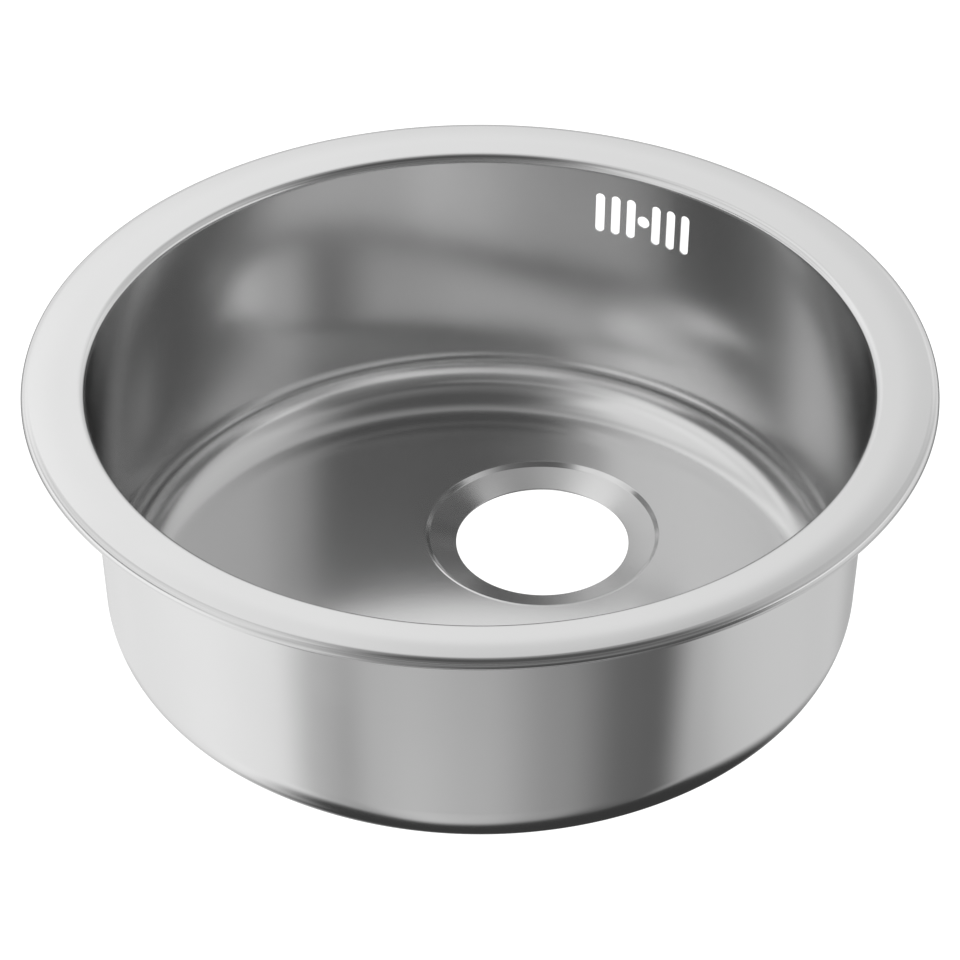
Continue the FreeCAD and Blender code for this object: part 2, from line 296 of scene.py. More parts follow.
def lathe(outline, steps, centre=(0.0, 0.0)):
    """Draws an outline of (radius, level) points and spins it round a vertical axis."""
    start_clean()
    x, y = centre
    radius, level = outline[0]
    bpy.ops.mesh.primitive_plane_add(size=MM, location=(x + radius, y, level))
    piece = bpy.context.object
    bpy.ops.object.mode_set(mode="EDIT")
    bpy.ops.mesh.select_mode(type="VERT")
    pick_all()
    bpy.ops.mesh.merge(type="CENTER")
    for (r0, z0), (r1, z1) in zip(outline, outline[1:]):
        bpy.ops.mesh.extrude_region_move(TRANSFORM_OT_translate={"value": (r1 - r0, 0.0, z1 - z0)})
    pick_all()
    bpy.ops.mesh.spin(steps=steps, angle=math.tau, center=(x, y, 0.0), axis=(0.0, 0.0, 1.0))
    merge_close()
    object_mode()
    return piece


def at(radius, level):
    return Vector((radius, 0.0, level))


def flat(points):
    return [(point.x, point.z) for point in points]


def rounded(corners, bends, step, hold):
    """The corner points with each inner one turned into an arc, in steps of so many degrees.
    A short straight beside each arc keeps the flats flat when they are shaded smooth."""
    line = [corners[0]]
    for a, b, c, radius in zip(corners, corners[1:], corners[2:], bends):
        back = (a - b).normalized()
        ahead = (c - b).normalized()
        half = back.angle(ahead) / 2
        run = radius / math.tan(half)
        if run > min((line[-1] - b).length, (c - b).length):
            raise ValueError(f"A bend of {radius / MM:.2f} mm doesn't fit between its corners")
        first = b + back * run
        last = b + ahead * run
        middle = b + (back + ahead).normalized() * (radius / math.sin(half))
        sweep = math.pi - half * 2
        if (first - line[-1]).length > hold * 4:
            line.append(first + back * hold)
        count = max(4, math.ceil(math.degrees(sweep) / step))
        start = first - middle
        end = last - middle
        for index in range(count + 1):
            part = index / count
            arm = start * math.sin((1 - part) * sweep) + end * math.sin(part * sweep)
            line.append(middle + arm / math.sin(sweep))
        line.append(last + ahead * hold)
    line.append(corners[-1])
    return line


# Node helpers

def node(tree, kind, inputs=None, **values):
    made = tree.nodes.new(kind)
    for key, value in values.items():
        setattr(made, key, value)
    for key, value in (inputs or {}).items():
        if isinstance(value, bpy.types.NodeSocket):
            tree.links.new(value, made.inputs[key])
        else:
            made.inputs[key].default_value = value
    return made


def calc(tree, operation, a, b=0.0, c=0.0):
    return node(tree, "ShaderNodeMath", {0: a, 1: b, 2: c}, operation=operation).outputs[0]


def noise(tree, vector, scale, detail):
    """Soft noise with so many patches per metre."""
    inputs = {"Vector": vector, "Scale": scale, "Detail": detail}
    return node(tree, "ShaderNodeTexNoise", inputs).outputs["Fac"]


def group_tree(name, inputs, outputs):
    tree = bpy.data.node_groups.new(name, "ShaderNodeTree")
    for label, kind, default in inputs:
        socket = tree.interface.new_socket(name=label, in_out="INPUT", socket_type=kind)
        if default is not None:
            socket.default_value = default
    for label, kind in outputs:
        tree.interface.new_socket(name=label, in_out="OUTPUT", socket_type=kind)
    return tree, tree.nodes.new("NodeGroupInput"), tree.nodes.new("NodeGroupOutput")


def grain_group():
    """Fine grain that runs round the bowl's axis, as a mop leaves it, with soft patches of haze."""
    tree, given, out = group_tree(
        "Polishing grain",
        [
            ("Vector", "NodeSocketVector", None),
            ("Grain per metre", "NodeSocketFloat", 4000.0),
            ("Haze per metre", "NodeSocketFloat", 18.0),
        ],
        [("Grain", "NodeSocketFloat"), ("Haze", "NodeSocketFloat")],
    )
    changes_round = 24.0
    vector = given.outputs["Vector"]
    fine = given.outputs["Grain per metre"]
    x, y, z = node(tree, "ShaderNodeSeparateXYZ", {0: vector}).outputs
    squares = calc(tree, "ADD", calc(tree, "MULTIPLY", x, x), calc(tree, "MULTIPLY", y, y))
    radius = calc(tree, "SQRT", squares)
    above_zero = calc(tree, "MAXIMUM", radius, MM)
    across = calc(tree, "MULTIPLY", radius, fine)
    down = calc(tree, "MULTIPLY", z, fine)
    turn_x = calc(tree, "MULTIPLY", calc(tree, "DIVIDE", x, above_zero), changes_round)
    turn_y = calc(tree, "MULTIPLY", calc(tree, "DIVIDE", y, above_zero), changes_round)
    place = node(tree, "ShaderNodeCombineXYZ", {0: across, 1: down, 2: turn_x}).outputs[0]
    inputs = {"Vector": place, "W": turn_y, "Scale": 1.0, "Detail": 2.0}
    grain = node(tree, "ShaderNodeTexNoise", inputs, noise_dimensions="4D")
    tree.links.new(grain.outputs["Fac"], out.inputs["Grain"])
    tree.links.new(noise(tree, vector, given.outputs["Haze per metre"], 3.0), out.inputs["Haze"])
    return tree


def new_material(name):
    material = bpy.data.materials.new(name)
    material.use_nodes = True
    tree = material.node_tree
    shader = tree.nodes["Principled BSDF"]
    place = node(tree, "ShaderNodeTexCoord").outputs["Object"]
    return material, tree, shader, place


def vary(tree, shader, mask, colour_value, shift, roughness, spread):
    """Lets colour and roughness drift a little to both sides with the mask."""
    low = (*[c * (1.0 - shift) for c in colour_value], 1.0)
    high = (*[min(1.0, c * (1.0 + shift)) for c in colour_value], 1.0)
    tint = node(tree, "ShaderNodeMix", {0: mask, 6: low, 7: high}, data_type="RGBA")
    lowest, highest = 0.3, 0.7
    smoothest = roughness * (1.0 - spread)
    roughest = min(1.0, roughness * (1.0 + spread))
    rough = node(tree, "ShaderNodeMapRange", {0: mask, 1: lowest, 2: highest, 3: smoothest, 4: roughest})
    tree.links.new(tint.outputs[2], shader.inputs["Base Color"])
    tree.links.new(rough.outputs[0], shader.inputs["Roughness"])


def roughen(tree, shader, height, strength, depth):
    """Raises the surface a little by the height mask."""
    bump = node(tree, "ShaderNodeBump", {"Height": height, "Strength": strength, "Distance": depth})
    tree.links.new(bump.outputs[0], shader.inputs["Normal"])


def satin_steel(name, colour_value, roughness, grain_depth):
    """Stainless steel with a satin polish."""
    if name in bpy.data.materials:
        return bpy.data.materials[name]
    material, tree, shader, place = new_material(name)
    grain = node(tree, "ShaderNodeGroup", node_tree=grain_group())
    tree.links.new(place, grain.inputs["Vector"])
    vary(tree, shader, grain.outputs["Haze"], colour_value, 0.03, roughness, spread=0.08)
    roughen(tree, shader, grain.outputs["Grain"], strength=grain_depth, depth=0.004 * MM)
    shader.inputs["Metallic"].default_value = 1.0
    return material


def wear_group():
    """Light scuffs and grime in patches, for small metal and rubber pieces."""
    name = "Handling marks"
    if name in bpy.data.node_groups:
        return bpy.data.node_groups[name]
    tree, given, out = group_tree(
        name,
        [
            ("Vector", "NodeSocketVector", None),
            ("Patches per metre", "NodeSocketFloat", 120.0),
            ("Pits per metre", "NodeSocketFloat", 2500.0),
        ],
        [("Patches", "NodeSocketFloat"), ("Pits", "NodeSocketFloat")],
    )
    vector = given.outputs["Vector"]
    tree.links.new(noise(tree, vector, given.outputs["Patches per metre"], 4.0), out.inputs["Patches"])
    tree.links.new(noise(tree, vector, given.outputs["Pits per metre"], 3.0), out.inputs["Pits"])
    return tree


# For each finish: setting of its colour, metallic, roughness, colour drift, pits per metre, depth of the pits
SMALL_FINISHES = {
    "Tab steel": ("tab", 1.0, 0.32, 0.08, 2500.0, 0.01 * MM),
    "Zinc plate": ("plate", 1.0, 0.22, 0.06, 1500.0, 0.004 * MM),
    "Cast zinc": ("zinc", 1.0, 0.42, 0.10, 1800.0, 0.03 * MM),
    "Seal foam": ("foam", 0.0, 0.9, 0.15, 2200.0, 0.12 * MM),
    "Bitumen rubber": ("pad", 0.0, 0.62, 0.2, 700.0, 0.15 * MM),
}


def small_finish(name, finishes):
    """A finish for the small pieces, with patches in its colour and gloss and fine pits in its surface."""
    if name in bpy.data.materials:
        return bpy.data.materials[name]
    setting, metallic, roughness, shift, pits_per_metre, pit_depth = SMALL_FINISHES[name]
    material, tree, shader, place = new_material(name)
    marks = node(tree, "ShaderNodeGroup", node_tree=wear_group())
    tree.links.new(place, marks.inputs["Vector"])
    marks.inputs["Pits per metre"].default_value = pits_per_metre
    vary(tree, shader, marks.outputs["Patches"], getattr(finishes, setting), shift, roughness, spread=0.15)
    roughen(tree, shader, marks.outputs["Pits"], strength=0.5, depth=pit_depth)
    shader.inputs["Metallic"].default_value = metallic
    return material


def paint(piece, material):
    piece.data.materials.clear()
    piece.data.materials.append(material)
    for face in piece.data.polygons:
        face.material_index = 0


# The bowl

def rim_corners(s):
    """Corners of the upper side from the lip to the floor, as (radius, 0, level)."""
    spread = (s.rim_slope + s.crest_fall) / 2
    lean = (s.rim_slope - s.crest_fall) / 2
    reach = s.crown_radius / math.cos(spread)
    crown = s.rim_radius - s.crest_inset - reach * math.sin(lean)
    crown_level = s.rim_height - s.crown_radius + reach * math.cos(lean)
    fall = math.tan(s.shoulder_slope)
    drift = math.tan(s.crest_fall)
    ridge = (s.edge_height - crown_level + s.rim_radius * fall - crown * drift) / (fall - drift)
    mouth = s.rim_radius - s.rim_width
    floor = mouth - s.floor_inset
    level = s.rim_height - s.depth
    return [
        at(s.rim_radius, 0.0),
        at(s.rim_radius, s.edge_height),
        at(ridge, crown_level - (ridge - crown) * drift),
        at(crown, crown_level),
        at(mouth, crown_level - (crown - mouth) * math.tan(s.rim_slope)),
        at(floor, level),
        at(floor - s.floor_bend * 1.05, level),
    ]


def wall_radius(s, level):
    top, foot = rim_corners(s)[4:6]
    return foot.x + (top.x - foot.x) * (level - foot.z) / (top.z - foot.z)


def overflow_cutter(s, offset, radius, height):
    """A round-ended bar that stands through the wall."""
    start_clean()
    near = wall_radius(s, -s.overflow_drop)
    bpy.ops.mesh.primitive_cylinder_add(
        vertices=SMALL_STEPS,
        radius=radius,
        depth=s.sheet * 8,
        location=(0.0, near, -s.overflow_drop),
        rotation=(math.pi / 2, 0.0, 0.0),
    )
    bar = bpy.context.object
    reach = height / 2 - radius
    if reach > 0.0:
        bpy.ops.object.mode_set(mode="EDIT")
        for side in (1, -1):
            pick(bar, lambda p: (p.z + s.overflow_drop) * side > SAME_PLACE)
            bpy.ops.transform.translate(value=(0.0, 0.0, reach * side))
        object_mode()
    settle(bar, "overflow_cutter")
    bar.data.transform(Matrix.Rotation(-offset / near, 4, "Z"))
    return bar


def wall_outline(s, corners):
    """The upper side from the lip's edge over the rim and down the wall to the flat of the floor."""
    bends = [s.edge_radius, s.shoulder_radius, s.crown_radius, s.mouth_bend]
    upper = rounded(corners[:6], bends, step=5.0, hold=0.05 * MM)
    lower = rounded(corners[4:], [s.floor_bend], step=3.0, hold=0.4 * MM)
    rows = 8
    wall = [upper[-2].lerp(lower[1], part / rows) for part in range(1, rows)]
    return upper[:-1] + wall + lower[1:]


def recess_outline(s, level, outer):
    """The upper side of the waste recess, from the floor over the bead and the step to the hole's edge."""
    recess = s.waste_radius + s.recess_width
    outline = rounded(
        [
            at(outer, level),
            at(recess + s.bead_width, level),
            at(recess, level + s.bead_height),
            at(recess - s.step_width, level - s.step_drop),
            at(s.waste_radius, level - s.recess_depth),
        ],
        [s.step_bend * 2, s.step_bend, s.step_foot_bend],
        step=5.0,
        hold=0.2 * MM,
    )
    near_the_cut = s.cut_edge * 3 / (outline[-1] - outline[-2]).length
    outline.insert(-1, outline[-1].lerp(outline[-2], near_the_cut))
    return outline


def round_cut_edges(s, shell, level):
    """Rounds the sheet's cut edges at the lip and at the waste hole."""
    rings = [(0.0, 0.0, s.rim_radius), (s.waste_offset, level - s.recess_depth, s.waste_radius)]
    near = 0.02 * MM

    def on_cut_edge(place):
        return any(
            abs(place.z - ring_level) < near and abs(math.hypot(place.x, place.y - middle) - radius) < near
            for middle, ring_level, radius in rings
        )

    edit(shell, "EDGE")
    object_mode()
    places = [on_cut_edge(vertex.co) for vertex in shell.data.vertices]
    for edge in shell.data.edges:
        edge.select = all(places[index] for index in edge.vertices)
    bpy.ops.object.mode_set(mode="EDIT")
    bpy.ops.mesh.bevel(offset=s.cut_edge, segments=3, affect="EDGES")
    object_mode()


def punch_overflow(s, shell):
    """Cuts the overflow's screw hole and slots through the wall."""
    cutters = [overflow_cutter(s, 0.0, s.hole_radius, s.hole_radius * 2)]
    for index in range(s.slots_each_side):
        for side in (-1, 1):
            offset = side * (s.slot_first + index * s.slot_pitch)
            cutters.append(overflow_cutter(s, offset, s.slot_width / 2, s.slot_height))
    only(*cutters)
    bpy.ops.object.join()
    cut_away(shell, bpy.context.object)


class SINK_OT_bowl(bpy.types.Operator):
    """Presses the bowl from one sheet, with its rim, floor, waste recess and overflow slots"""
    bl_idname = "sink.bowl"
    bl_label = "Bowl"

    def execute(self, context):
        s = context.scene.sink_bowl
        corners = rim_corners(s)
        outline = wall_outline(s, corners)
        shell = lathe(flat(outline), BOWL_STEPS)

        level = corners[5].z
        inner = outline[-1].x
        margin = 3.0 * MM
        outer = s.waste_radius + s.recess_width + margin
        dish = lathe(flat(recess_outline(s, level, outer)), BOWL_STEPS, (0.0, s.waste_offset))

        def on_floor_edge(p):
            beside_wall = abs(math.hypot(p.x, p.y) - inner) < SAME_PLACE
            beside_recess = abs(math.hypot(p.x, p.y - s.waste_offset) - outer) < SAME_PLACE
            return abs(p.z - level) < SAME_PLACE and (beside_wall or beside_recess)

        only(shell, dish)
        bpy.ops.object.join()
        edit(shell)
        pick(shell, on_floor_edge)
        bpy.ops.mesh.bridge_edge_loops()
        merge_close()
        bpy.ops.mesh.normals_make_consistent(inside=False)
        object_mode()

        # The level face nearest to the floor tells which way the sheet faces
        def off_floor(face):
            return abs(face.center.z - level) + (0.0 if abs(face.normal.z) > 0.99 else 1.0)

        if min(shell.data.polygons, key=off_floor).normal.z < 0:
            edit(shell, "FACE")
            pick_all()
            bpy.ops.mesh.flip_normals()
            object_mode()
        settle(shell, "bowl_shell")
        finish_with(shell, "SOLIDIFY", thickness=s.sheet, offset=-1.0, use_even_offset=True, use_rim=True)
        round_cut_edges(s, shell, level)
        punch_overflow(s, shell)
        smooth(shell)
        f = context.scene.sink_finishes
        paint(shell, satin_steel("Bowl steel", f.steel, f.steel_roughness, f.steel_grain))
        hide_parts("sink_bowl")
        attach(shell, "sink")
        return {"FINISHED"}


# Clamps and earthing tag

def middle_of(name):
    low, high = (Vector(corner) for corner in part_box(name))
    return (low + high) / 2, (high - low) / 2


def soft_copy(source, name, width):
    """A copy of a node's mesh with its doubles merged, its flats cleaned and its sharp edges rounded."""
    only(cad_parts[source])
    bpy.ops.object.duplicate()
    piece = bpy.context.object
    piece.name = name
    piece.data.name = name
    edit(piece)
    merge_close()
    bpy.ops.mesh.dissolve_limited(angle_limit=math.radians(0.5))
    object_mode()
    soften(piece, width, 40)
    return settle(piece, name)


def bolt(name, centre, seat, tip, side, head, thread):
    """A round-headed bolt whose thread runs up (side 1) or down (side -1) from the seat of its head.
    The head is given by its radius, height and rounding, and the thread by its outer radius and pitch."""
    head_radius, head_height, head_bend = head
    shank_radius, pitch = thread
    outer = seat - side * head_height
    outline = rounded(
        [
            at(0.0, outer),
            at(head_radius, outer),
            at(head_radius, seat),
            at(shank_radius, seat),
        ],
        [head_bend, head_bend / 4],
        step=12.0,
        hold=0.02 * MM,
    )
    depth = pitch * 0.55
    root = shank_radius - depth
    root_from = pitch * 0.44
    root_to = pitch * 0.56
    chamfer = pitch * 0.2
    tip_radius = shank_radius - depth * 1.3
    points = flat(outline)
    run = abs(tip - seat) - pitch
    turns = int(run / pitch)
    start = seat + side * (run - turns * pitch)
    for turn in range(turns):
        crest = start + side * turn * pitch
        points += [(shank_radius, crest), (root, crest + side * root_from), (root, crest + side * root_to)]
    points += [
        (shank_radius, tip - side * pitch),
        (root, tip - side * chamfer),
        (tip_radius, tip),
        (0.0, tip),
    ]
    piece = lathe(points, SMALL_STEPS, centre)
    face_outwards(piece)
    return settle(piece, name)


def hexagon_bar(centre, width, low, high):
    start_clean()
    x, y = centre
    bpy.ops.mesh.primitive_cylinder_add(
        vertices=6, radius=width / math.sqrt(3), depth=high - low, location=(x, y, (low + high) / 2)
    )
    return settle(bpy.context.object, "hexagon_bar")


def spring_washer(h, name):
    """A dished ring as wide and as high as the first clamp's washer."""
    middle, size = middle_of("clamp_washer_1")
    low = middle.z - size.z
    dish = size.z * 2 - h.washer_thickness
    inner = h.washer_bore
    outer = size.y
    half_way = at((inner + outer) / 2, low + dish / 2)
    section = rounded(
        [
            half_way,
            at(outer, low + dish),
            at(outer, low + dish + h.washer_thickness),
            at(inner, low + h.washer_thickness),
            at(inner, low),
            half_way,
        ],
        [h.washer_thickness / 4] * 4,
        step=30.0,
        hold=0.005 * MM,
    )
    washer = lathe(flat(section), WASHER_STEPS, middle[:2])
    face_outwards(washer)
    return settle(washer, name)


def chamfered_nut(h, name):
    """A hexagonal nut with its corners turned off and a plain bore."""
    middle, size = middle_of("earth_nut")
    low = middle.z - size.z
    high = middle.z + size.z
    nut = hexagon_bar((0.0, 0.0), h.nut_width, low, high)
    corner = h.nut_width / math.sqrt(3)
    face = h.nut_width / 2 * 0.97
    fall = (corner - face) * math.tan(math.radians(30))
    beyond = corner * 1.001
    under = [(0.0, low), (face, low), (beyond, low + fall)]
    over = [(beyond, high - fall), (face, high), (0.0, high)]
    barrel = lathe(under + over, NUT_STEPS)
    face_outwards(barrel)
    cut_away(nut, settle(barrel, "nut_barrel"), "INTERSECT")
    slack = 0.05 * MM
    start_clean()
    bpy.ops.mesh.primitive_cylinder_add(
        vertices=SMALL_STEPS,
        radius=h.earth_shank_radius + slack,
        depth=(high - low) * 2,
        location=(0.0, 0.0, middle.z),
    )
    cut_away(nut, settle(bpy.context.object, "nut_bore"))
    nut.data.transform(Matrix.Translation((math.hypot(middle.x, middle.y), 0.0, 0.0)))
    nut.data.transform(Matrix.Rotation(math.atan2(middle.y, middle.x), 4, "Z"))
    return settle(nut, name)


def hand_over(piece, node_name, body, material):
    smooth(piece)
    paint(piece, material)
    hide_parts(node_name)
    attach(piece, body)


def copy_turned(piece, name, degrees):
    """A copy with its own mesh, turned round the bowl's axis."""
    only(piece)
    bpy.ops.object.duplicate()
    made = bpy.context.object
    made.name = name
    made.data.name = name
    made.data.transform(Matrix.Rotation(math.radians(degrees), 4, "Z"))
    return made


class SINK_OT_clamps(bpy.types.Operator):
    """Makes one clamp of bracket, cam, screw and spring washer, and repeats it round the rim"""
    bl_idname = "sink.clamps"
    bl_label = "Clamps"

    def execute(self, context):
        h = context.scene.sink_hardware
        f = context.scene.sink_finishes
        tab = small_finish("Tab steel", f)
        plate = small_finish("Zinc plate", f)
        zinc = small_finish("Cast zinc", f)

        centre, reach = middle_of("clamp_screw_1")
        low = centre.z - reach.z
        screw = bolt(
            "screw_1",
            centre[:2],
            seat=low + h.head_height,
            tip=centre.z + reach.z,
            side=1,
            head=(reach.y, h.head_height, h.head_bend),
            thread=(h.shank_radius, h.pitch),
        )
        cut_away(screw, hexagon_bar(centre[:2], h.key_width, low - h.key_depth, low + h.key_depth))
        washer = spring_washer(h, "spring_washer_1")

        firsts = [
            (soft_copy("clamp_bracket_1", "bracket_1", h.tab_edge), "clamp_bracket", "tab_steel", tab),
            (soft_copy("clamp_cam_1", "cam_1", h.cam_edge), "clamp_cam", "cast_zinc", zinc),
            (screw, "clamp_screw", "plated_steel", plate),
            (washer, "clamp_washer", "plated_steel", plate),
        ]
        for piece, node_name, slot_name, material in firsts:
            stem = piece.name[:-2]
            for number in range(CLAMPS, 0, -1):
                angle = 360.0 * (number - 1) / CLAMPS
                made = piece if number == 1 else copy_turned(piece, f"{stem}_{number}", angle)
                body = "sink" if node_name == "clamp_bracket" else f"clamp_{number}"
                hand_over(made, f"{node_name}_{number}", body, material)
        return {"FINISHED"}


class SINK_OT_earthing(bpy.types.Operator):
    """Makes the earthing tag with its slotted screw, toothed washer and nut"""
    bl_idname = "sink.earthing"
    bl_label = "Earthing tag"

    def execute(self, context):
        h = context.scene.sink_hardware
        f = context.scene.sink_finishes
        tab = small_finish("Tab steel", f)
        plate = small_finish("Zinc plate", f)

        centre, reach = middle_of("earth_screw")
        top = centre.z + reach.z
        head_radius = max(reach.x, reach.y)
        screw = bolt(
            "tag_screw",
            centre[:2],
            seat=top - h.earth_head_height,
            tip=centre.z - reach.z,
            side=-1,
            head=(head_radius, h.earth_head_height, h.head_bend),
            thread=(h.earth_shank_radius, h.earth_pitch),
        )
        turn = math.atan2(centre.y, centre.x)
        start_clean()
        bpy.ops.mesh.primitive_cube_add(size=1.0, location=(*centre[:2], top), rotation=(0.0, 0.0, turn))
        bar = bpy.context.object
        bar.scale = (head_radius * 3, h.slot_width, h.slot_depth * 2)
        cut_away(screw, settle(bar, "slot_bar"))
        nut = chamfered_nut(h, "tag_nut")
        star = soft_copy("earth_washer", "toothed_washer", h.star_edge)

        hand_over(screw, "earth_screw", "sink", plate)
        hand_over(nut, "earth_nut", "sink", plate)
        hand_over(star, "earth_washer", "sink", plate)
        hand_over(soft_copy("earth_tag", "tag", h.tab_edge), "earth_tag", "sink", tab)
        return {"FINISHED"}


class SINK_OT_seal(bpy.types.Operator):
    """Lays the foam seal under the rim"""
    bl_idname = "sink.seal"
    bl_label = "Rim seal"

    def execute(self, context):
        f = context.scene.sink_finishes
        width = 6.0 * MM
        soft = 0.6 * MM
        shoulder_run = 1.5 * MM
        shoulder_fall = 0.95 * MM
        crest_fall = 0.1 * MM
        inner_fall = 0.3 * MM
        outer = seal_high[0]
        inner = outer - width
        top = seal_high[2]
        half_way = at((outer + inner) / 2, 0.0)
        points = rounded(
            [
                half_way,
                at(outer, 0.0),
                at(outer, top - shoulder_fall),
                at(outer - shoulder_run, top - crest_fall),
                at(inner, top - inner_fall),
                at(inner, 0.0),
                half_way,
            ],
            [soft, soft / 2, soft, soft, soft],
            step=15.0,
            hold=0.02 * MM,
        )
        ring = lathe(flat(points), SEAL_STEPS)
        face_outwards(ring)
        settle(ring, "seal_ring")
        smooth(ring, 40.0)
        paint(ring, small_finish("Seal foam", f))
        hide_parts("rim_seal")
        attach(ring, "sink")
        return {"FINISHED"}


class SINK_OT_pad(bpy.types.Operator):
    """Sticks the damping pad under the floor"""
    bl_idname = "sink.pad"
    bl_label = "Damping pad"

    def execute(self, context):
        f = context.scene.sink_finishes
        corner_radius = 18.0 * MM
        edge_radius = 0.5 * MM
        start_clean()
        middle = (Vector(pad_low) + Vector(pad_high)) / 2
        size = Vector(pad_high) - Vector(pad_low)
        bpy.ops.mesh.primitive_cube_add(size=1.0, location=middle)
        pad = bpy.context.object
        bpy.ops.object.mode_set(mode="EDIT")
        pick_all()
        bpy.ops.transform.resize(value=size, center_override=middle)
        object_mode()
        settle(pad, "damping_pad")
        edit(pad, "EDGE")
        object_mode()
        for edge in pad.data.edges:
            a, b = (pad.data.vertices[i].co for i in edge.vertices)
            edge.select = abs(a.z - b.z) > size.z / 2
        bpy.ops.object.mode_set(mode="EDIT")
        bpy.ops.mesh.bevel(offset=corner_radius, offset_type="OFFSET", segments=12, affect="EDGES")
        object_mode()
        soften(pad, edge_radius, 60)
        smooth(pad, 40.0)
        paint(pad, small_finish("Bitumen rubber", f))
        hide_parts("sound_pad")
        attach(pad, "sink")
        return {"FINISHED"}


# The stage

def grey(brightness):
    return (brightness, brightness, brightness, 1.0)


def ramp(tree, value, stops):
    """Grey that runs through (place, brightness) stops."""
    made = node(tree, "ShaderNodeValToRGB", {0: value})
    line = made.color_ramp
    line.interpolation = "EASE"
    while len(line.elements) < len(stops):
        line.elements.new(1.0)
    for element, (place, brightness) in zip(line.elements, stops):
        element.position = place
        element.color = grey(brightness)
    return made.outputs[0]


def round_ramp(tree, bearing, stops):
    """Grey round the horizon, for bearings in degrees from -180 to 180 and back to where it began."""
    turns = calc(tree, "MULTIPLY_ADD", bearing, 1.0 / math.tau, 0.5)
    return ramp(tree, turns, [(degrees / 360.0 + 0.5, brightness) for degrees, brightness in stops])


def fade(tree, value, low, high, first, second):
    """Goes softly from the first grey to the second while the value goes from low to high."""
    limits = {0: value, 1: low, 2: high}
    part = node(tree, "ShaderNodeMapRange", limits, interpolation_type="SMOOTHSTEP").outputs[0]
    return node(tree, "ShaderNodeMix", {0: part, 6: first, 7: second}, data_type="RGBA").outputs[2]


def turned(tree, vector, bearing):
    """How steeply the vector points up, and its own bearing from the one given."""
    centred = node(tree, "ShaderNodeMapping", {0: vector, 2: (0.0, 0.0, bearing)})
    straight = node(tree, "ShaderNodeVectorMath", {0: centred.outputs[0]}, operation="NORMALIZE")
    parts = node(tree, "ShaderNodeSeparateXYZ", {0: straight.outputs[0]}).outputs
    return parts[2], calc(tree, "ARCTAN2", parts[0], parts[1])


